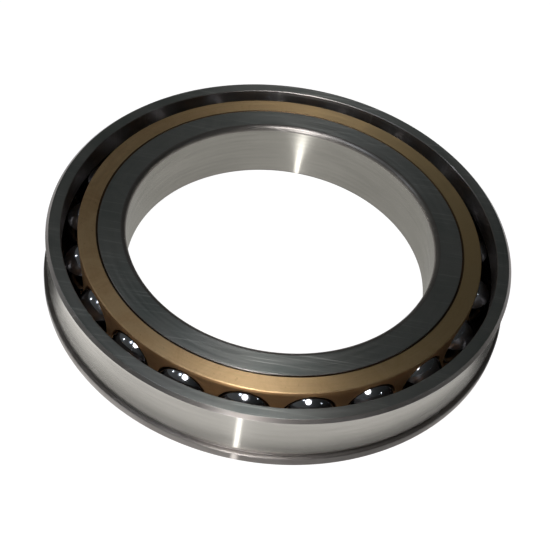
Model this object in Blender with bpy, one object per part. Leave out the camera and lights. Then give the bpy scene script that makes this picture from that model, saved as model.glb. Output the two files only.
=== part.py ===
"""Single-row angular contact ball bearing with a flanged outer ring and a machined brass cage.

Frame: metres, +Z up along the bearing's axis, origin at the centre of the bore in the plane of the
back face, which the bearing rests on. The open side, where the balls show, faces +Z.

The outer ring stands still. The inner ring turns about Z. The cage and the balls orbit the same axis,
and each ball also rolls about its own tilted axis, through its origin.
"""

from math import acos, cos, pi, radians, sin

import bmesh
import bpy
from mathutils import Matrix, Vector

MM = 0.001

# Boundary dimensions
BORE_R = 60.0 * MM
OUTSIDE_R = 90.0 * MM
WIDTH = 25.0 * MM
BORE_FRONT_CORNER = 2.0 * MM  # rounded, to clear the fillet of the shaft's shoulder
BORE_BACK_CORNER = 1.0 * MM
BORE_CORNER_STEPS = 4
OUTSIDE_CORNER = 1.2 * MM  # chamfer that leads the ring into its housing
EDGE = 0.25 * MM  # light chamfers on the lands beside the cage

# Locating flange round the outer ring, flush with the back face
FLANGE_R = 91.4 * MM
FLANGE_WIDTH = 4.5 * MM
FLANGE_CORNER = 1.0 * MM
FLANGE_EDGE = 0.3 * MM
RELIEF_WIDTH = 1.4 * MM  # grinding relief in the corner between flange and outside
RELIEF_DEPTH = 0.45 * MM
SEAT_IN_R = 90.25 * MM  # the flange's seat begins clear of the outside
SEAT_RELIEF = 0.2 * MM

# Balls and raceways
BALLS = 21
BALL_PHASE = radians(10.2)  # the first ball, from +X, at rest
BALL_R = 19.05 / 2 * MM
PITCH_R = (BORE_R + OUTSIDE_R) / 2
CENTRE_Z = WIDTH / 2
CONTACT_ANGLE = radians(40)
GROOVE_R = 0.52 * 2 * BALL_R
RUNNING_GAP = 0.2 * MM  # between ball and raceway where they would touch
GROOVE_OFFSET = GROOVE_R - BALL_R - RUNNING_GAP
GROOVE_STEPS = 8

# Shoulders beside the raceways: high on the loaded side, low on the open side
OUTER_HIGH_R = 79.6 * MM
OUTER_LOW_R = 84.25 * MM
OUTER_MOUTH_R = 84.3 * MM
INNER_HIGH_R = 70.65 * MM
INNER_LOW_R = 66.6 * MM
INNER_MOUTH_R = 66.2 * MM

# One-piece window cage, guided by the inner ring's high shoulder
CAGE_IN_R = 71.0 * MM
CAGE_OUT_R = 78.1 * MM
CAGE_BACK_Z = 0.8 * MM
CAGE_FRONT_Z = WIDTH - 0.2 * MM
CAGE_EDGE = 0.3 * MM
POCKET_R = BALL_R + 0.28 * MM
POCKET_SIDES = 24
POCKET_OVERRUN = 2.0 * MM

RING_SIDES = 72
BALL_SUBDIVISIONS = 3
MERGE = 1e-7


def clear_scene():
    for obj in list(bpy.data.objects):
        bpy.data.objects.remove(obj)


def metal(name, colour, roughness):
    material = bpy.data.materials.new(name)
    material.use_nodes = True
    shader = material.node_tree.nodes["Principled BSDF"]
    shader.inputs["Base Color"].default_value = (*colour, 1)
    shader.inputs["Metallic"].default_value = 1
    shader.inputs["Roughness"].default_value = roughness
    return material


def add_object(name, mesh, material, parent, location=(0, 0, 0)):
    obj = bpy.data.objects.new(name, mesh)
    bpy.context.scene.collection.objects.link(obj)
    obj.parent = parent
    obj.location = location
    if not mesh.materials:
        mesh.materials.append(material)
    return obj


def add_axis(name):
    """An empty on the bearing's axis, for the pieces that turn together about it."""
    axis = bpy.data.objects.new(name, None)
    bpy.context.scene.collection.objects.link(axis)
    return axis


def finish_mesh(build, name):
    bmesh.ops.remove_doubles(build, verts=build.verts, dist=MERGE)
    bmesh.ops.recalc_face_normals(build, faces=build.faces)
    mesh = bpy.data.meshes.new(name)
    build.to_mesh(mesh)
    build.free()
    mesh.shade_smooth()
    mesh.set_sharp_from_angle(angle=radians(25))
    return mesh


def turned_mesh(name, profile):
    """A closed (radius, z) profile spun round the bearing's axis."""
    build = bmesh.new()
    verts = [build.verts.new((r, 0, z)) for r, z in profile]
    edges = [build.edges.new((verts[i - 1], verts[i])) for i in range(len(verts))]
    bmesh.ops.spin(
        build,
        geom=verts + edges,
        cent=(0, 0, 0),
        axis=(0, 0, 1),
        angle=2 * pi,
        steps=RING_SIDES,
        use_merge=True,
    )
    return finish_mesh(build, name)


def groove(centre, start, end):
    """Points along a raceway's arc; the angles are measured from +radius towards +z."""
    steps = [start + (end - start) * i / GROOVE_STEPS for i in range(GROOVE_STEPS + 1)]
    return [(centre[0] + GROOVE_R * cos(a), centre[1] + GROOVE_R * sin(a)) for a in steps]


def outer_groove():
    """The outer raceway, from the low shoulder near the front to the high one near the back."""
    centre = (
        PITCH_R - GROOVE_OFFSET * cos(CONTACT_ANGLE),
        CENTRE_Z + GROOVE_OFFSET * sin(CONTACT_ANGLE),
    )
    low = acos((OUTER_LOW_R - centre[0]) / GROOVE_R)
    high = -acos((OUTER_HIGH_R - centre[0]) / GROOVE_R)
    return groove(centre, low, high)


def inner_groove():
    """The inner raceway, from the low shoulder near the back to the high one near the front."""
    centre = (
        PITCH_R + GROOVE_OFFSET * cos(CONTACT_ANGLE),
        CENTRE_Z - GROOVE_OFFSET * sin(CONTACT_ANGLE),
    )
    low = pi + acos((centre[0] - INNER_LOW_R) / GROOVE_R)
    high = pi - acos((centre[0] - INNER_HIGH_R) / GROOVE_R)
    return groove(centre, low, high)


def outer_ring_profile():
    relief_top = FLANGE_WIDTH + RELIEF_WIDTH
    outside = [
        (FLANGE_R - FLANGE_CORNER, 0),
        (FLANGE_R, FLANGE_CORNER),
        (FLANGE_R, FLANGE_WIDTH - FLANGE_EDGE),
        (FLANGE_R - FLANGE_EDGE, FLANGE_WIDTH),
        (SEAT_IN_R, FLANGE_WIDTH),
        (OUTSIDE_R - RELIEF_DEPTH, FLANGE_WIDTH - SEAT_RELIEF),
        (OUTSIDE_R - RELIEF_DEPTH, relief_top - RELIEF_DEPTH),
        (OUTSIDE_R, relief_top),
        (OUTSIDE_R, WIDTH - OUTSIDE_CORNER),
        (OUTSIDE_R - OUTSIDE_CORNER, WIDTH),
    ]
    mouth = [(OUTER_MOUTH_R + EDGE, WIDTH), (OUTER_MOUTH_R, WIDTH - EDGE)]
    shoulder = [(OUTER_HIGH_R, EDGE), (OUTER_HIGH_R + EDGE, 0)]
    return outside + mouth + outer_groove() + shoulder


def bore_corner(size, centre_z, start, end):
    """Points along a rounded corner of the bore; the angles are measured as for a raceway."""
    turn = (end - start) / BORE_CORNER_STEPS
    angles = [start + turn * i for i in range(BORE_CORNER_STEPS + 1)]
    return [(BORE_R + size + size * cos(a), centre_z + size * sin(a)) for a in angles]


def inner_ring_profile():
    front = bore_corner(BORE_FRONT_CORNER, WIDTH - BORE_FRONT_CORNER, pi / 2, pi)
    back = bore_corner(BORE_BACK_CORNER, BORE_BACK_CORNER, pi, 3 * pi / 2)
    bore = front + back
    mouth = [(INNER_MOUTH_R - EDGE, 0), (INNER_MOUTH_R, EDGE)]
    shoulder = [(INNER_HIGH_R, WIDTH - EDGE), (INNER_HIGH_R - EDGE, WIDTH)]
    return bore + mouth + inner_groove() + shoulder


def cage_profile():
    return [
        (CAGE_IN_R + CAGE_EDGE, CAGE_BACK_Z),
        (CAGE_OUT_R - CAGE_EDGE, CAGE_BACK_Z),
        (CAGE_OUT_R, CAGE_BACK_Z + CAGE_EDGE),
        (CAGE_OUT_R, CAGE_FRONT_Z - CAGE_EDGE),
        (CAGE_OUT_R - CAGE_EDGE, CAGE_FRONT_Z),
        (CAGE_IN_R + CAGE_EDGE, CAGE_FRONT_Z),
        (CAGE_IN_R, CAGE_FRONT_Z - CAGE_EDGE),
        (CAGE_IN_R, CAGE_BACK_Z + CAGE_EDGE),
    ]


def ball_angle(index):
    return BALL_PHASE + 2 * pi * index / BALLS


def pocket_cutter():
    """A drill through the cage's wall for each ball, all in one hidden mesh."""
    build = bmesh.new()
    for index in range(BALLS):
        middle = Vector(((CAGE_IN_R + CAGE_OUT_R) / 2, 0, CENTRE_Z))
        lying = Matrix.Rotation(pi / 2, 4, "Y")
        turn = Matrix.Rotation(ball_angle(index), 4, "Z")
        bmesh.ops.create_cone(
            build,
            cap_ends=True,
            segments=POCKET_SIDES,
            radius1=POCKET_R,
            radius2=POCKET_R,
            depth=CAGE_OUT_R - CAGE_IN_R + 2 * POCKET_OVERRUN,
            matrix=turn @ Matrix.Translation(middle) @ lying,
        )
    mesh = bpy.data.meshes.new("pocket_cutter")
    build.to_mesh(mesh)
    build.free()
    cutter = bpy.data.objects.new("pocket_cutter", mesh)
    bpy.context.scene.collection.objects.link(cutter)
    cutter.hide_render = True
    cutter.display_type = "WIRE"
    return cutter


def ball_mesh():
    build = bmesh.new()
    bmesh.ops.create_icosphere(build, subdivisions=BALL_SUBDIVISIONS, radius=BALL_R)
    mesh = bpy.data.meshes.new("ball")
    build.to_mesh(mesh)
    build.free()
    mesh.shade_smooth()
    return mesh


def add_outer_ring(steel):
    return add_object("outer_ring", turned_mesh("outer_ring", outer_ring_profile()), steel, None)


def add_inner_ring(steel):
    axis = add_axis("inner_ring_axis")
    return add_object("inner_ring", turned_mesh("inner_ring", inner_ring_profile()), steel, axis)


def add_cage(brass, axis):
    cage = add_object("cage", turned_mesh("cage", cage_profile()), brass, axis)
    drill = cage.modifiers.new("pockets", "BOOLEAN")
    drill.operation = "DIFFERENCE"
    drill.object = pocket_cutter()
    return cage


def add_balls(polished, axis):
    """One ball to each pocket, sharing a mesh, with its origin at its centre."""
    mesh = ball_mesh()
    for index in range(BALLS):
        angle = ball_angle(index)
        centre = (PITCH_R * cos(angle), PITCH_R * sin(angle), CENTRE_Z)
        ball = add_object(f"ball_{index + 1:02d}", mesh, polished, axis, centre)
        ball.rotation_euler.z = angle


def main():
    clear_scene()
    ring_steel = metal("ring_steel", (0.42, 0.42, 0.40), 0.28)
    ball_steel = metal("ball_steel", (0.62, 0.63, 0.65), 0.06)
    cage_brass = metal("cage_brass", (0.62, 0.45, 0.20), 0.35)
    add_outer_ring(ring_steel)
    add_inner_ring(ring_steel)
    cage_axis = add_axis("cage_axis")
    add_cage(cage_brass, cage_axis)
    add_balls(ball_steel, cage_axis)


main()
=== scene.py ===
"""The look of an angular contact ball bearing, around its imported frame.

Metres, +Z up along the bearing's axis, the back face on z = 0. Each CAD node is replaced by a finer
mesh of the same dimensions: filleted turned rings, a cage with deburred pockets, and smooth balls.
"""

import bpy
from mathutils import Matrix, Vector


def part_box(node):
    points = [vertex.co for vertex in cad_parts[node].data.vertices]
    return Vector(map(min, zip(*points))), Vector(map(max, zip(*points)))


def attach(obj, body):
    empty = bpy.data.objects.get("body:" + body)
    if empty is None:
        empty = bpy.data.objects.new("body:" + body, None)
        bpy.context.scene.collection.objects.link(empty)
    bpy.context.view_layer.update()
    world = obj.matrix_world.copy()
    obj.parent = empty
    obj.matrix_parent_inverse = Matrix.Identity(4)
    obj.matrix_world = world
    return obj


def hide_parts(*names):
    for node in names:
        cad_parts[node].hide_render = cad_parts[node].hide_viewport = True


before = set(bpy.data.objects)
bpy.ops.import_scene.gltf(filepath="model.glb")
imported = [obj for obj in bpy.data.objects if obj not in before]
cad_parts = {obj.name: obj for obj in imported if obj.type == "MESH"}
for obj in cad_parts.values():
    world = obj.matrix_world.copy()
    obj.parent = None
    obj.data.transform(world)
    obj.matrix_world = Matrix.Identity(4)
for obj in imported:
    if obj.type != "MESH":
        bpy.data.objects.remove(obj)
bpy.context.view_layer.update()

from math import acos, atan2, cos, hypot, pi, radians, sin, sqrt, tau

import bpy
from mathutils import Matrix, Vector

MM = 0.001

# Dimensions of the solids that the pieces replace
BORE_R = 60.0 * MM
OUTSIDE_R = 90.0 * MM
WIDTH = 25.0 * MM
BORE_FRONT_CORNER = 2.0 * MM
BORE_BACK_CORNER = 1.0 * MM
OUTSIDE_CORNER = 1.2 * MM
EDGE = 0.25 * MM
FLANGE_R = 91.4 * MM
FLANGE_WIDTH = 4.5 * MM
FLANGE_CORNER = 1.0 * MM
FLANGE_EDGE = 0.3 * MM
RELIEF_WIDTH = 1.4 * MM
RELIEF_DEPTH = 0.45 * MM
SEAT_IN_R = 90.25 * MM
SEAT_RELIEF = 0.2 * MM
BALL_R = 19.05 / 2 * MM
PITCH_R = 75.0 * MM
CENTRE_Z = WIDTH / 2
CONTACT_ANGLE = radians(40)
GROOVE_R = 0.52 * 2 * BALL_R
GROOVE_OFFSET = GROOVE_R - BALL_R - 0.2 * MM
OUTER_HIGH_R = 79.6 * MM
OUTER_LOW_R = 84.25 * MM
OUTER_MOUTH_R = 84.3 * MM
INNER_HIGH_R = 70.65 * MM
INNER_LOW_R = 66.6 * MM
INNER_MOUTH_R = 66.2 * MM
CAGE_IN_R = 71.0 * MM
CAGE_OUT_R = 78.1 * MM
CAGE_BACK_Z = 0.8 * MM
CAGE_FRONT_Z = WIDTH - 0.2 * MM
CAGE_EDGE = 0.3 * MM
POCKET_R = BALL_R + 0.28 * MM

# Fineness of the meshes
RING_SIDES = 360
GROOVE_STEPS = 20
FILLET_STEPS = 4
FILLET_PITCH = 0.17 * MM  # a larger fillet has a step for each of these in its radius
BROAD_FILLET = 0.5 * MM  # a larger fillet has a turned finish of its own
SUPPORT = 0.05 * MM  # loops this far from a fillet keep the flats flat
BALL_GRID = 18  # squares along the side of the cube that each ball is made from
SMALL_FILLET = 0.12 * MM
CAGE_BURR = 0.25 * MM  # width of the deburred edge of each pocket

BALLS = sorted(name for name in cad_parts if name.startswith("ball_"))


# ---------------------------------------------------------------- materials

# Marks round the axis, as cells of noise per metre across them
FINE_GRINDING = 9000.0
BROAD_GRINDING = 900.0
FINE_TURNING = 7000.0
BROAD_TURNING = 700.0
SCRATCH_SCALE = (26.0, 1500.0, 26.0)  # long in x, so a scratch is thin and straight
SCRATCH_DEPTH = 6e-6
BRASS_MARK_DEPTH = 6e-6
BRASS_PIT_DEPTH = 4e-6
LAPPING_DEPTH = 6e-7
# Near black: painted shade on the cage's inner edge beside the inner ring
INNER_EDGE_SHADE = (0.04, 0.032, 0.024)


def scaled(colour, factors):
    return tuple(c * f for c, f in zip(colour, factors))


class Tree:
    """A small helper for writing a material's nodes."""

    def __init__(self, name, colour, metallic, roughness):
        self.material = bpy.data.materials.new(name)
        self.material.use_nodes = True
        self.material.diffuse_color = (*colour, 1)
        self.tree = self.material.node_tree
        self.shader = self.tree.nodes["Principled BSDF"]
        self.set("Base Color", (*colour, 1))
        self.set("Metallic", metallic)
        self.set("Roughness", roughness)

    def feed(self, socket, value):
        """Links a socket to an output, or gives it a constant."""
        if hasattr(value, "is_output"):
            self.tree.links.new(value, socket)
        else:
            socket.default_value = value

    def set(self, socket, value):
        self.feed(self.shader.inputs[socket], value)

    def add(self, kind, values=(), out=0, **settings):
        node = self.tree.nodes.new(kind)
        for key, value in settings.items():
            setattr(node, key, value)
        for key, value in dict(values).items():
            self.feed(node.inputs[key], value)
        return node.outputs[out]

    def math(self, operation, a, b=0.0, c=0.0):
        return self.add("ShaderNodeMath", {0: a, 1: b, 2: c}, operation=operation)

    def point(self):
        """The object's own coordinates, as a vector in metres."""
        return self.add("ShaderNodeTexCoord", out=3)

    def axes(self):
        node = self.tree.nodes.new("ShaderNodeSeparateXYZ")
        self.tree.links.new(self.point(), node.inputs[0])
        return node.outputs

    def vector(self, x, y, z):
        return self.add("ShaderNodeCombineXYZ", {0: x, 1: y, 2: z})

    def axis_distance(self, x, y):
        squares = self.math("ADD", self.math("MULTIPLY", x, x), self.math("MULTIPLY", y, y))
        return self.math("SQRT", squares)

    def around(self, across, along):
        """Coordinates for marks round the axis: cells per metre across them, per radian along them.

        Height counts as well as radius, so that both a face and a wall have marks side by side.
        """
        x, y, z = self.axes()
        radius = self.axis_distance(x, y)
        side = self.math("MULTIPLY_ADD", z, 0.73, radius)
        cosine = self.math("DIVIDE", x, radius)
        sine = self.math("DIVIDE", y, radius)
        return self.vector(
            self.math("MULTIPLY", side, across),
            self.math("MULTIPLY", cosine, along),
            self.math("MULTIPLY", sine, along),
        )

    def noise(self, vector, scale, detail=2.0, rough=0.5, warp=0.0):
        values = {"Vector": vector, "Scale": scale, "Detail": detail,
                  "Roughness": rough, "Distortion": warp}
        return self.add("ShaderNodeTexNoise", values)

    def ramp(self, value, low, high, out_low=0.0, out_high=1.0):
        values = {0: value, 1: low, 2: high, 3: out_low, 4: out_high}
        return self.add("ShaderNodeMapRange", values)

    def mix(self, factor, a, b):
        """A blend of two colours, each a triple or a socket."""
        a, b = (colour if hasattr(colour, "is_output") else (*colour, 1) for colour in (a, b))
        return self.add("ShaderNodeMix", {0: factor, 6: a, 7: b}, out=2, data_type="RGBA")

    def bump(self, height, distance, below=None):
        values = {"Height": height, "Distance": distance}
        if below is not None:
            values["Normal"] = below
        return self.add("ShaderNodeBump", values)

    def lay(self, amount):
        """Stretch the highlights across marks that run round the axis."""
        tangent = self.add("ShaderNodeTangent", direction_type="RADIAL", axis="Z")
        self.set("Tangent", tangent)
        self.set("Anisotropic", amount)
        self.set("Anisotropic Rotation", 0.25)

    def scratches(self, turns, density):
        """Fine straight handling scratches along each of the angles. 1 on a scratch, 0 off it."""
        total = 0.0
        for index, turn in enumerate(turns):
            turned = self.add(
                "ShaderNodeMapping",
                {"Vector": self.point(), "Location": (0.13 * index, 0.07 * index, 0.0),
                 "Rotation": (0, 0, radians(turn)), "Scale": SCRATCH_SCALE},
            )
            lines = self.noise(turned, 1.0, 1.0, 0.5, 0.15)
            line = self.ramp(lines, 0.70 - 0.03 * density, 0.76)
            total = self.math("MAXIMUM", total, line)
        return total


def ground_steel(name, colour, roughness, lay, film, scratch_turns, wear, grain=3.5e-6):
    """Ground or turned ring steel: marks round the axis, an oil film, handling scratches."""
    make = Tree(name, colour, 1.0, roughness)
    fine = make.noise(make.around(FINE_GRINDING, 3.0), 1.0, 2.0, 0.6)
    broad = make.noise(make.around(BROAD_GRINDING, 2.0), 1.0, 3.0, 0.6)
    clouds = make.noise(make.point(), 38.0, 4.0, 0.6, 0.6)
    patches = make.ramp(clouds, 0.35, 0.70)
    scratch = make.scratches(scratch_turns, wear)
    base = make.mix(patches, colour, scaled(colour, film))
    band = make.math("MULTIPLY", make.ramp(broad, 0.35, 0.65), 0.30)
    base = make.mix(band, base, tuple(c * 0.78 for c in colour))
    bright = tuple(min(1.0, c * 1.5) for c in colour)
    base = make.mix(make.math("MULTIPLY", scratch, 0.35), base, bright)
    make.set("Base Color", base)
    rough = make.ramp(broad, 0.3, 0.7, roughness * 0.82, roughness * 1.18)
    rough = make.math("ADD", rough, make.math("MULTIPLY", patches, 0.067 * wear))
    rough = make.math("ADD", rough, make.math("MULTIPLY", scratch, 0.10))
    make.set("Roughness", rough)
    grooves = make.bump(fine, grain)
    uncut = make.math("SUBTRACT", 1.0, scratch)
    make.set("Normal", make.bump(uncut, SCRATCH_DEPTH, grooves))
    make.lay(lay)
    return make.material


def machined_brass(name, colour, roughness, lay):
    """Turned brass with brown tarnish and fine tool marks, and painted shade: darker below the
    front rim, towards one side, and at the inner edge.
    """
    make = Tree(name, colour, 1.0, roughness)
    fine = make.noise(make.around(FINE_TURNING, 3.0), 1.0, 2.0, 0.6)
    broad = make.noise(make.around(BROAD_TURNING, 3.0), 1.0, 3.0, 0.6)
    clouds = make.noise(make.point(), 70.0, 5.0, 0.65, 0.8)
    specks = make.noise(make.point(), 900.0, 2.0, 0.5)
    tarnish = make.ramp(clouds, 0.42, 0.72)
    brown = scaled(colour, (0.50, 0.42, 0.34))
    olive = scaled(colour, (0.60, 0.64, 0.58))
    # the darker brown of the painted shade below the front rim
    below_rim_shade_colour = scaled(colour, (0.58, 0.42, 0.32))
    base = make.mix(make.math("MULTIPLY", make.ramp(broad, 0.35, 0.7), 0.35), colour, olive)
    base = make.mix(make.math("MULTIPLY", tarnish, 0.55), base, brown)
    base = make.mix(make.math("MULTIPLY", make.ramp(specks, 0.66, 0.75), 0.4), base, brown)
    x, y, z = make.axes()
    # Painted shade: the brass turns to the darker olive towards the +x side of the cage
    side = make.math("MULTIPLY_ADD", x, -0.94, make.math("MULTIPLY", y, -0.34))
    side_shade = make.ramp(side, -CAGE_OUT_R, CAGE_OUT_R, 0.85, 0.0)
    base = make.mix(side_shade, base, olive)
    # Painted shade: the inner edge beside the inner ring goes nearly black
    unshaded_edge_r, fully_shaded_edge_r = CAGE_IN_R + 0.45 * MM, CAGE_IN_R + 0.25 * MM
    inner_edge_shade = make.ramp(make.axis_distance(x, y), unshaded_edge_r, fully_shaded_edge_r, 0.0, 0.9)
    base = make.mix(inner_edge_shade, base, INNER_EDGE_SHADE)
    # Painted shade on the walls and in the pockets below the front rim, mottled by the clouds
    depth = make.ramp(z, CAGE_FRONT_Z - 0.03 * MM, CAGE_FRONT_Z - 0.6 * MM)
    below_rim_shade = make.math("MULTIPLY", depth, make.ramp(clouds, 0.2, 0.5, 1.0, 0.55))
    base = make.mix(below_rim_shade, base, below_rim_shade_colour)
    make.set("Base Color", base)
    rough = make.ramp(broad, 0.3, 0.7, roughness * 0.9, roughness * 1.1)
    make.set("Roughness", make.math("ADD", rough, make.math("MULTIPLY", tarnish, 0.08)))
    tool_marks = make.bump(fine, BRASS_MARK_DEPTH)
    make.set("Normal", make.bump(specks, BRASS_PIT_DEPTH, tool_marks))
    make.lay(lay)
    return make.material


def polished_steel(name, colour, roughness):
    """Lapped steel under a thin uneven film of oil."""
    make = Tree(name, colour, 1.0, roughness)
    film = make.ramp(make.noise(make.point(), 300.0, 3.0, 0.55, 0.5), 0.4, 0.7)
    dull = tuple(c * 0.8 for c in colour)
    make.set("Base Color", make.mix(make.math("MULTIPLY", film, 0.5), colour, dull))
    make.set("Roughness", make.math("MULTIPLY_ADD", film, 0.05, roughness))
    lapping = make.noise(make.point(), 2500.0, 2.0, 0.6)
    make.set("Normal", make.bump(lapping, LAPPING_DEPTH))
    return make.material


# ---------------------------------------------------------------- meshes

FACE, GROUND, TURNED, RACE = range(4)  # the finishes of a ring's surfaces


def fillet(before, corner, after, radius):
    """Points of the arc that rounds a corner of a (radius, z) profile."""
    a = (before[0] - corner[0], before[1] - corner[1])
    b = (after[0] - corner[0], after[1] - corner[1])
    la, lb = hypot(*a), hypot(*b)
    a, b = (a[0] / la, a[1] / la), (b[0] / lb, b[1] / lb)
    turn = acos(max(-1.0, min(1.0, a[0] * b[0] + a[1] * b[1])))
    reach = min(radius / max(1e-9, sin(turn / 2) / cos(turn / 2)), 0.42 * la, 0.42 * lb)
    radius = reach * sin(turn / 2) / cos(turn / 2)
    middle = (a[0] + b[0], a[1] + b[1])
    length = hypot(*middle)
    offset = radius / sin(turn / 2)
    centre = (corner[0] + middle[0] / length * offset, corner[1] + middle[1] / length * offset)
    start = (corner[0] + a[0] * reach - centre[0], corner[1] + a[1] * reach - centre[1])
    end = (corner[0] + b[0] * reach - centre[0], corner[1] + b[1] * reach - centre[1])
    first = atan2(start[1], start[0])
    sweep = (atan2(end[1], end[0]) - first + pi) % tau - pi
    steps = max(FILLET_STEPS, round(radius / FILLET_PITCH))
    arc = [first + sweep * i / steps for i in range(steps + 1)]
    return [(centre[0] + radius * cos(t), centre[1] + radius * sin(t)) for t in arc]


def rounded(profile):
    """Fillets a closed profile of (radius, z, fillet, zone) corners.

    The zone is the finish of the side that follows the corner. Returns points and their zones.
    """
    out = []
    for i, (r, z, size, zone) in enumerate(profile):
        before, after = profile[i - 1], profile[(i + 1) % len(profile)]
        if not size:
            out.append(((r, z), zone))
            continue
        arc = fillet(before[:2], (r, z), after[:2], size)
        for side, end in ((before, arc[0]), (after, arc[-1])):
            away = (side[0] - end[0], side[1] - end[1])
            length = hypot(*away)
            step = min(SUPPORT, 0.2 * length) / length
            near = (end[0] + away[0] * step, end[1] + away[1] * step)
            if side is before:
                out.append((near, before[3]))
                if size > BROAD_FILLET:
                    out += [(p, TURNED) for p in arc]
                    continue
                half = len(arc) // 2
                out += [(p, before[3] if k < half else zone) for k, p in enumerate(arc)]
            else:
                out.append((near, zone))
    return [p for p, _ in out], [zone for _, zone in out]


def mesh_object(name, verts, faces, zones, materials):
    mesh = bpy.data.meshes.new(name)
    mesh.from_pydata(verts, [], faces)
    for material in materials:
        mesh.materials.append(material)
    mesh.polygons.foreach_set("material_index", zones)
    mesh.shade_smooth()
    mesh.validate()
    obj = bpy.data.objects.new(name, mesh)
    bpy.context.scene.collection.objects.link(obj)
    return obj


def turned(name, profile, materials):
    """Spins a filleted profile, drawn anticlockwise in (radius, z), round the axis."""
    points, finishes = rounded(profile)
    count = len(points)
    verts, faces, zones = [], [], []
    for k in range(RING_SIDES):
        a = tau * k / RING_SIDES
        verts += [(r * cos(a), r * sin(a), z) for r, z in points]
    for k in range(RING_SIDES):
        here, there = k * count, (k + 1) % RING_SIDES * count
        for i in range(count):
            j = (i + 1) % count
            faces.append((here + i, there + i, there + j, here + j))
            zones.append(finishes[i])
    return mesh_object(name, verts, faces, zones, materials)


def groove(centre, start, end, zone):
    """Corners along a raceway's arc; the angles are measured from +radius towards +z."""
    steps = [start + (end - start) * i / GROOVE_STEPS for i in range(GROOVE_STEPS + 1)]
    return [(centre[0] + GROOVE_R * cos(a), centre[1] + GROOVE_R * sin(a), 0, zone)
            for a in steps]


def outer_ring_profile():
    relief_top = FLANGE_WIDTH + RELIEF_WIDTH
    relief_r = OUTSIDE_R - RELIEF_DEPTH
    centre = (PITCH_R - GROOVE_OFFSET * cos(CONTACT_ANGLE),
              CENTRE_Z + GROOVE_OFFSET * sin(CONTACT_ANGLE))
    race = groove(centre, acos((OUTER_LOW_R - centre[0]) / GROOVE_R),
                  -acos((OUTER_HIGH_R - centre[0]) / GROOVE_R), RACE)
    race[-1] = (*race[-1][:2], SMALL_FILLET, TURNED)
    race[0] = (*race[0][:2], SMALL_FILLET, RACE)
    return [
        (FLANGE_R - FLANGE_CORNER, 0, 0.15 * MM, TURNED),
        (FLANGE_R, FLANGE_CORNER, 0.25 * MM, TURNED),
        (FLANGE_R, FLANGE_WIDTH - FLANGE_EDGE, 0.1 * MM, TURNED),
        (FLANGE_R - FLANGE_EDGE, FLANGE_WIDTH, 0.1 * MM, TURNED),
        (SEAT_IN_R, FLANGE_WIDTH, 0.05 * MM, TURNED),
        (relief_r, FLANGE_WIDTH - SEAT_RELIEF, 0.2 * MM, TURNED),
        (relief_r, relief_top - RELIEF_DEPTH, 0.2 * MM, TURNED),
        (OUTSIDE_R, relief_top, SMALL_FILLET, GROUND),
        (OUTSIDE_R, WIDTH - OUTSIDE_CORNER, 0.22 * MM, TURNED),
        (OUTSIDE_R - OUTSIDE_CORNER, WIDTH, 0.22 * MM, FACE),
        (OUTER_MOUTH_R + EDGE, WIDTH, SMALL_FILLET, TURNED),
        (OUTER_MOUTH_R, WIDTH - EDGE, SMALL_FILLET, TURNED),
        *race,
        (OUTER_HIGH_R, EDGE, SMALL_FILLET, TURNED),
        (OUTER_HIGH_R + EDGE, 0, SMALL_FILLET, FACE),
    ]


def inner_ring_profile():
    centre = (PITCH_R + GROOVE_OFFSET * cos(CONTACT_ANGLE),
              CENTRE_Z - GROOVE_OFFSET * sin(CONTACT_ANGLE))
    race = groove(centre, pi + acos((centre[0] - INNER_LOW_R) / GROOVE_R),
                  pi - acos((centre[0] - INNER_HIGH_R) / GROOVE_R), RACE)
    race[-1] = (*race[-1][:2], SMALL_FILLET, GROUND)
    race[0] = (*race[0][:2], SMALL_FILLET, RACE)
    return [
        (BORE_R, WIDTH, BORE_FRONT_CORNER, GROUND),
        (BORE_R, 0, BORE_BACK_CORNER, FACE),
        (INNER_MOUTH_R - EDGE, 0, SMALL_FILLET, TURNED),
        (INNER_MOUTH_R, EDGE, SMALL_FILLET, TURNED),
        *race,
        (INNER_HIGH_R, WIDTH - EDGE, SMALL_FILLET, TURNED),
        (INNER_HIGH_R - EDGE, WIDTH, SMALL_FILLET, FACE),
    ]


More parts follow.
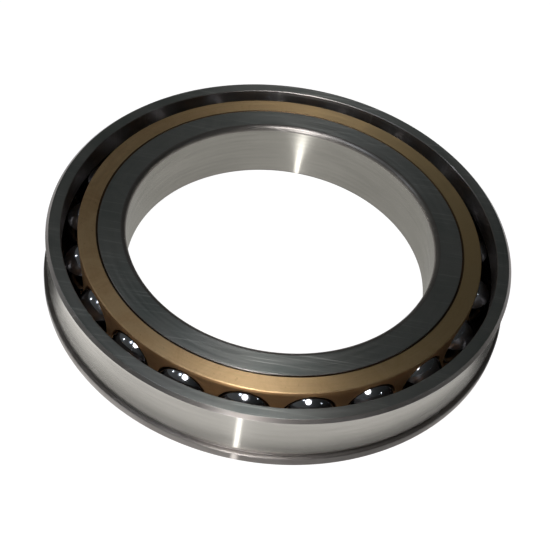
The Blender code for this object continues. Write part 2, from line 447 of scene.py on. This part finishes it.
def cage(name, material, angles):
    """The one-piece cage, as a sector round each pocket that joins the next one."""
    sides, tall, burr = 20, 14, CAGE_BURR
    half = pi / len(angles)
    low, high = CAGE_BACK_Z + 2 * CAGE_EDGE, CAGE_FRONT_Z - 2 * CAGE_EDGE
    rim = []  # the sector's outline in (angle, z), anticlockwise from its lower left corner
    rim += [(-half + 2 * half * i / sides, low) for i in range(sides)]
    rim += [(half, low + (high - low) * i / tall) for i in range(tall)]
    rim += [(half - 2 * half * i / sides, high) for i in range(sides)]
    rim += [(-half, high - (high - low) * i / tall) for i in range(tall)]
    count = len(rim)
    middle = (low + high) / 2
    ways = [atan2(z - middle, a * PITCH_R) for a, z in rim]

    def wall(radius, size):
        """Rows of points on a cylinder, from the sector's outline in to the pocket's edge."""
        ring = []
        for way in ways:
            u, w = size * cos(way), size * sin(way)
            ring.append((atan2(u, sqrt(radius**2 - u**2)), CENTRE_Z + w))
        rows = []
        for share in (0, 0.25, 0.5, 0.75, 0.92, 1):
            row = [(a + (b - a) * share, c + (d - c) * share)
                   for (a, c), (b, d) in zip(rim, ring)]
            rows.append([(radius * cos(a), radius * sin(a), z) for a, z in row])
        return rows

    def throat(radius, size, depth):
        """A row of points in the pocket, at this depth beyond the given cylinder."""
        row = []
        for way in ways:
            u, w = size * cos(way), size * sin(way)
            row.append((sqrt(radius**2 - u**2) + depth, u, CENTRE_Z + w))
        return row

    rows = wall(CAGE_OUT_R, POCKET_R + burr)
    rows.append(throat(CAGE_OUT_R, POCKET_R + 0.3 * burr, -0.3 * burr))
    rows += [throat(CAGE_OUT_R, POCKET_R, depth) for depth in (-burr, -2 * burr)]
    rows += [throat(CAGE_IN_R, POCKET_R, depth) for depth in (2 * burr, burr)]
    rows.append(throat(CAGE_IN_R, POCKET_R + 0.3 * burr, 0.3 * burr))
    rows += wall(CAGE_IN_R, POCKET_R + burr)[::-1]
    verts, faces, index = [], [], {}

    def vertex(point):
        key = tuple(round(c * 1e8) for c in point)
        if key not in index:
            index[key] = len(verts)
            verts.append(point)
        return index[key]

    def strip(first, second, closed=True):
        for i in range(len(first) - (not closed)):
            j = (i + 1) % len(first)
            corners = [vertex(p) for p in (first[i], first[j], second[j], second[i])]
            if len(set(corners)) == 4:
                faces.append(corners)

    def lid(edge_z, face_z, way):
        """The turned rim beyond the pockets, from the outer wall over to the inner wall."""
        corners = [
            (CAGE_OUT_R, edge_z, 0, 0),
            (CAGE_OUT_R, face_z - way * CAGE_EDGE, SMALL_FILLET, 0),
            (CAGE_OUT_R - CAGE_EDGE, face_z, SMALL_FILLET, 0),
            (CAGE_IN_R + CAGE_EDGE, face_z, SMALL_FILLET, 0),
            (CAGE_IN_R, face_z - way * CAGE_EDGE, SMALL_FILLET, 0),
            (CAGE_IN_R, edge_z, 0, 0),
        ]
        return rounded(corners)[0]

    lids = [(lid(high, CAGE_FRONT_Z, 1), 1), (lid(low, CAGE_BACK_Z, -1), -1)]
    for angle in angles:
        turn = Matrix.Rotation(angle, 4, "Z")
        placed = [[tuple(turn @ Vector(p)) for p in row] for row in rows]
        for first, second in zip(placed, placed[1:]):
            strip(first, second)
        spread = [-half + 2 * half * i / sides for i in range(sides + 1)]
        for path, way in lids:
            lines = [[tuple(turn @ Vector((r * cos(a), r * sin(a), z))) for a in spread]
                     for r, z in path]
            for first, second in zip(lines, lines[1:]):
                strip(*((first, second) if way > 0 else (second, first)), closed=False)
    return mesh_object(name, verts, faces, [0] * len(faces), [material])


def ball_mesh(material):
    """A sphere from a cube's grid, with exact normals, so that its reflections stay round."""
    verts, faces, index = [], [], {}
    for axis in range(3):
        for side in (-1, 1):
            grid = []
            for i in range(BALL_GRID + 1):
                for j in range(BALL_GRID + 1):
                    u = (2 * i / BALL_GRID - 1) * pi / 4
                    v = (2 * j / BALL_GRID - 1) * pi / 4
                    flat = [side, sin(u) / cos(u), sin(v) / cos(v)]
                    point = Vector(flat[-axis:] + flat[:-axis]).normalized() * BALL_R
                    key = tuple(round(c * 1e8) for c in point)
                    if key not in index:
                        index[key] = len(verts)
                        verts.append(tuple(point))
                    grid.append(index[key])
            for i in range(BALL_GRID):
                for j in range(BALL_GRID):
                    a = i * (BALL_GRID + 1) + j
                    quad = [grid[a], grid[a + BALL_GRID + 1], grid[a + BALL_GRID + 2], grid[a + 1]]
                    faces.append(quad if side > 0 else quad[::-1])
    mesh = bpy.data.meshes.new("ball")
    mesh.from_pydata(verts, [], faces)
    mesh.materials.append(material)
    mesh.shade_smooth()
    mesh.normals_split_custom_set_from_vertices([tuple(Vector(v).normalized()) for v in verts])
    return mesh


# ---------------------------------------------------------------- the bearing

steel_zones = [
    ground_steel("ring_face_steel", (0.43, 0.435, 0.42), 0.40, 0.68, (0.62, 0.68, 0.68),
                 (17, 64, 101, 155), 0.9),
    ground_steel("ring_ground_steel", (0.50, 0.485, 0.455), 0.21, 1.0, (0.93, 0.935, 0.93),
                 (), 0.0, 4e-7),
    ground_steel("ring_turned_steel", (0.36, 0.34, 0.33), 0.36, 0.65, (0.7, 0.68, 0.66),
                 (30, 120), 0.3),
    ground_steel("raceway_steel", (0.40, 0.39, 0.38), 0.15, 0.4, (0.8, 0.8, 0.8), (45,), 0.0),
]

outer_ring = turned("outer_ring_steel_body", outer_ring_profile(), steel_zones)
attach(outer_ring, "outer_ring")
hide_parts("outer_ring")

inner_ring = turned("inner_ring_steel_body", inner_ring_profile(), steel_zones)
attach(inner_ring, "inner_ring")
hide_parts("inner_ring")

ball_centres = {}
for node in BALLS:
    low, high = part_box(node)
    ball_centres[node] = (Vector(low) + Vector(high)) / 2

brass = machined_brass("cage_machined_brass", (1.0, 0.70, 0.40), 0.48, 0.72)
pocket_angles = [atan2(c.y, c.x) for c in ball_centres.values()]
cage_body = cage("cage_brass_body", brass, pocket_angles)
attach(cage_body, "cage")
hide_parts("cage")

ball_look = ball_mesh(polished_steel("ball_polished_steel", (0.42, 0.43, 0.46), 0.09))
for node, centre in ball_centres.items():
    ball = bpy.data.objects.new(node + "_polished", ball_look)
    bpy.context.scene.collection.objects.link(ball)
    ball.location = centre
    quarters = divmod(BALLS.index(node), 4)
    ball.rotation_euler = (quarters[0] * pi / 2, 0, quarters[1] * pi / 2)
    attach(ball, node)
    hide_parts(node)


# ---------------------------------------------------------------- stage, light and camera

FLOOR_Z = -0.2 * MM
CARD_Z = -0.1 * MM
CARD_SIDES = 720

# Brightness of the hidden glowing cards, where the floor has about 1. Their dark band and sides are
# painted shadow, BORE_CARD is painted shade under the bore, and the strip of light is a painted
# glint, all seen in reflection.
DARK_BAND = 0.02
DARK_SIDES = 0.03
BORE_CARD = 0.46
STRIP_OF_LIGHT = 2.6  # the narrow strip that gives a ground wall its upright glint
BAND_END = 98.0 * MM
BORE_STRIP_START = 33.0 * MM

WARM = (1.0, 0.985, 0.97)
COOL = (0.85, 0.92, 1.0)
WINDOW_BLUE = (0.80, 0.89, 1.0)


def add_floor():
    mesh = bpy.data.meshes.new("floor")
    size = 12.0
    corners = [(-size, -size, 0), (size, -size, 0), (size, size, 0), (-size, size, 0)]
    mesh.from_pydata(corners, [], [(0, 1, 2, 3)])
    floor = bpy.data.objects.new("floor", mesh)
    bpy.context.scene.collection.objects.link(floor)
    floor.location.z = FLOOR_Z
    material = bpy.data.materials.new("floor_white")
    material.use_nodes = True
    shader = material.node_tree.nodes["Principled BSDF"]
    shader.inputs["Base Color"].default_value = (0.22, 0.22, 0.22, 1)
    shader.inputs["Roughness"].default_value = 1.0
    shader.inputs["Specular IOR Level"].default_value = 0.0
    shader.inputs["Emission Color"].default_value = (1, 1, 1, 1)
    shader.inputs["Emission Strength"].default_value = 0.97
    mesh.materials.append(material)


def blend(value, low, high):
    """0 up to low, 1 from high on, and smooth between them."""
    share = max(0.0, min(1.0, (value - low) / (high - low)))
    return share * share * (3 - 2 * share)


def streak(radius, azimuth, foot, slope, width):
    """1 along a narrow bright strip through (foot, 0) in mm, which leans by its slope: a painted
    glint.
    """
    x, y = radius * cos(azimuth) / MM, radius * sin(azimuth) / MM
    return 1 - blend(abs(x - foot - slope * y), width, 3 * width)


def flange_card_shade(radius, azimuth):
    """Emission of the hidden card round the flange, which paints light and shadow into the walls'
    reflections.

    A light strip beside the flange, then a dark band of painted shadow, then the bright
    surroundings, brighter at the left as painted light. The strip is wider at the front and dimmer
    at the right, and all of it is dark at the sides, painted shadow too. At the front a narrow
    strip adds a painted glint.
    """
    front = max(0.0, -sin(azimuth))
    right = blend(cos(azimuth), -0.75, 0.6)
    strip_end = (92.6 + 2.2 * front**2) * MM
    strip = 1.5 - 0.5 * blend(front, 0.6, 0.95) - 0.75 * right
    around = 1.0 + 0.4 * blend(-cos(azimuth), 0.5, 0.85) - 0.14 * right
    level = strip + (DARK_BAND - strip) * blend(radius, strip_end, strip_end + 0.4 * MM)
    level += (around - level) * blend(radius, BAND_END - 0.4 * MM, BAND_END + 0.4 * MM)
    side = blend(abs(cos(azimuth)), 0.89, 0.97)
    level = level * (1 - side) + DARK_SIDES * side
    if front > 0.9:
        level += STRIP_OF_LIGHT * streak(radius, azimuth, 5.6, 0.105, 0.5)
    return level


def bore_card_shade(radius, azimuth):
    # Painted shade: the floor under the bore as a dim glowing card, a little lighter at the back,
    # where a narrow strip paints a glint into the bore
    level = BORE_CARD + 0.05 * blend(sin(azimuth), 0.9, 1.0)
    if sin(azimuth) > 0.5 and radius > BORE_STRIP_START:
        level += STRIP_OF_LIGHT * streak(radius, azimuth, -1.74, 0.064, 0.4)
    return level


def add_card(name, radii, shade, tint, seen=False):
    """A flat glowing card on the floor, no lamp, whose emission paints light and shadow into the
    reflections of the bearing's bright walls.

    It is seen only in reflections, unless seen is set.
    """
    verts, faces, levels = [], [], []
    for k in range(CARD_SIDES):
        a = tau * k / CARD_SIDES
        verts += [(r * cos(a), r * sin(a), 0) for r in radii]
        levels += [shade(r, a) for r in radii]
    for k in range(CARD_SIDES):
        here, there = k * len(radii), (k + 1) % CARD_SIDES * len(radii)
        faces += [(here + i, here + i + 1, there + i + 1, there + i)
                  for i in range(len(radii) - 1)]
    mesh = bpy.data.meshes.new(name)
    mesh.from_pydata(verts, [], faces)
    colours = mesh.attributes.new("shade", "FLOAT_COLOR", "POINT")
    for item, level in zip(colours.data, levels):
        item.color = (*(level * c for c in tint), 1)
    card = bpy.data.objects.new(name, mesh)
    bpy.context.scene.collection.objects.link(card)
    card.location.z = CARD_Z
    card.visible_camera = seen
    card.visible_diffuse = card.visible_shadow = False
    material = bpy.data.materials.new(name)
    material.use_nodes = True
    shader = material.node_tree.nodes["Principled BSDF"]
    shader.inputs["Base Color"].default_value = (0, 0, 0, 1)
    shader.inputs["Specular IOR Level"].default_value = 0.0
    shader.inputs["Emission Strength"].default_value = 1.0
    colour = material.node_tree.nodes.new("ShaderNodeAttribute")
    colour.attribute_name = "shade"
    material.node_tree.links.new(colour.outputs["Color"], shader.inputs["Emission Color"])
    mesh.materials.append(material)


def add_light(name, towards, distance, size, power, colour):
    """A disc light that looks at the bearing from the given direction."""
    data = bpy.data.lights.new(name, "AREA")
    data.shape = "DISK"
    data.size = size
    data.energy = power
    data.color = colour
    lamp = bpy.data.objects.new(name, data)
    bpy.context.scene.collection.objects.link(lamp)
    direction = Vector(towards).normalized()
    lamp.location = direction * distance + Vector((0, 0, CENTRE_Z))
    lamp.rotation_mode = "QUATERNION"
    lamp.rotation_quaternion = (-direction).to_track_quat("-Z", "Y")
    return lamp


def add_world():
    """White behind the bearing for the camera, and for everything else a dim room.

    The room is brighter at the left.
    """
    world = bpy.data.worlds.new("studio")
    bpy.context.scene.world = world
    world.use_nodes = True
    tree = world.node_tree
    tree.nodes.clear()
    out = tree.nodes.new("ShaderNodeOutputWorld")
    backdrop = tree.nodes.new("ShaderNodeBackground")
    backdrop.inputs[0].default_value = (1, 1, 1, 1)
    room = tree.nodes.new("ShaderNodeBackground")
    room.inputs[0].default_value = (0.96, 1.0, 0.98, 1)
    towards = tree.nodes.new("ShaderNodeTexCoord")
    parts = tree.nodes.new("ShaderNodeSeparateXYZ")
    fade = tree.nodes.new("ShaderNodeMapRange")
    fade.inputs[1].default_value, fade.inputs[2].default_value = -1.0, 1.0
    fade.inputs[3].default_value, fade.inputs[4].default_value = 0.118, 0.014
    tree.links.new(towards.outputs[0], parts.inputs[0])
    tree.links.new(parts.outputs[0], fade.inputs[0])
    tree.links.new(fade.outputs[0], room.inputs[1])
    path = tree.nodes.new("ShaderNodeLightPath")
    either = tree.nodes.new("ShaderNodeMixShader")
    tree.links.new(path.outputs["Is Camera Ray"], either.inputs[0])
    tree.links.new(room.outputs[0], either.inputs[1])
    tree.links.new(backdrop.outputs[0], either.inputs[2])
    tree.links.new(either.outputs[0], out.inputs[0])


def add_camera():
    """A camera in front of the bearing that looks down at it, rolled a little."""
    data = bpy.data.cameras.new("camera")
    data.sensor_width = 36.0
    data.lens = 72.07
    data.clip_start, data.clip_end = 0.01, 50.0
    camera = bpy.data.objects.new("camera", data)
    bpy.context.scene.collection.objects.link(camera)
    elevation, roll = radians(47.36), radians(9.20)
    forward = Vector((0, cos(elevation), -sin(elevation)))
    right = Vector((1, 0, 0))
    up = right.cross(forward)
    looking = Matrix((right, up, -forward)).transposed().to_4x4()
    place = Matrix.Translation(Vector((0.00003, -0.30179, 0.32599)))
    camera.matrix_world = place @ looking @ Matrix.Rotation(roll, 4, "Z")
    bpy.context.scene.camera = camera


add_floor()
under_rings = [BORE_R + BORE_BACK_CORNER, FLANGE_R - FLANGE_CORNER]
# A black annulus under the rings, seen by the camera: painted shadow on the floor beneath the
# bearing
add_card("floor_shade_under_rings", under_rings, lambda r, a: 0.0, (1, 1, 1), seen=True)
beside_flange = [FLANGE_R + 0.2 * i * MM for i in range(40)]
beside_flange += [104.0 * MM, 112.0 * MM, 124.0 * MM]
add_card("painted_reflection_card_round_flange", beside_flange, flange_card_shade, (1.0, 0.985, 0.96))
in_bore = [r * MM for r in (0.1, 20.0, 28.0, 34.0, 42.0, 50.0, 61.0)]
add_card("painted_reflection_card_under_bore", in_bore, bore_card_shade, (1.0, 0.99, 0.94))
add_light("key", (-0.01, -0.42, 0.90), 0.45, 0.17, 0.80, WARM)
add_light("window", (-0.34, -0.20, 0.90), 0.80, 0.12, 0.32, WINDOW_BLUE)
add_light("front_low", (-0.072, -0.97, 0.245), 1.0, 0.02, 3.0, WARM)
add_light("left_high", (-0.76, 0.09, 0.64), 0.9, 0.05, 0.20, COOL)
add_light("right_high", (0.80, -0.10, 0.59), 0.9, 0.04, 0.06, COOL)
add_world()
add_camera()
bpy.context.scene.view_settings.view_transform = "Standard"
bpy.context.scene.view_settings.look = "None"
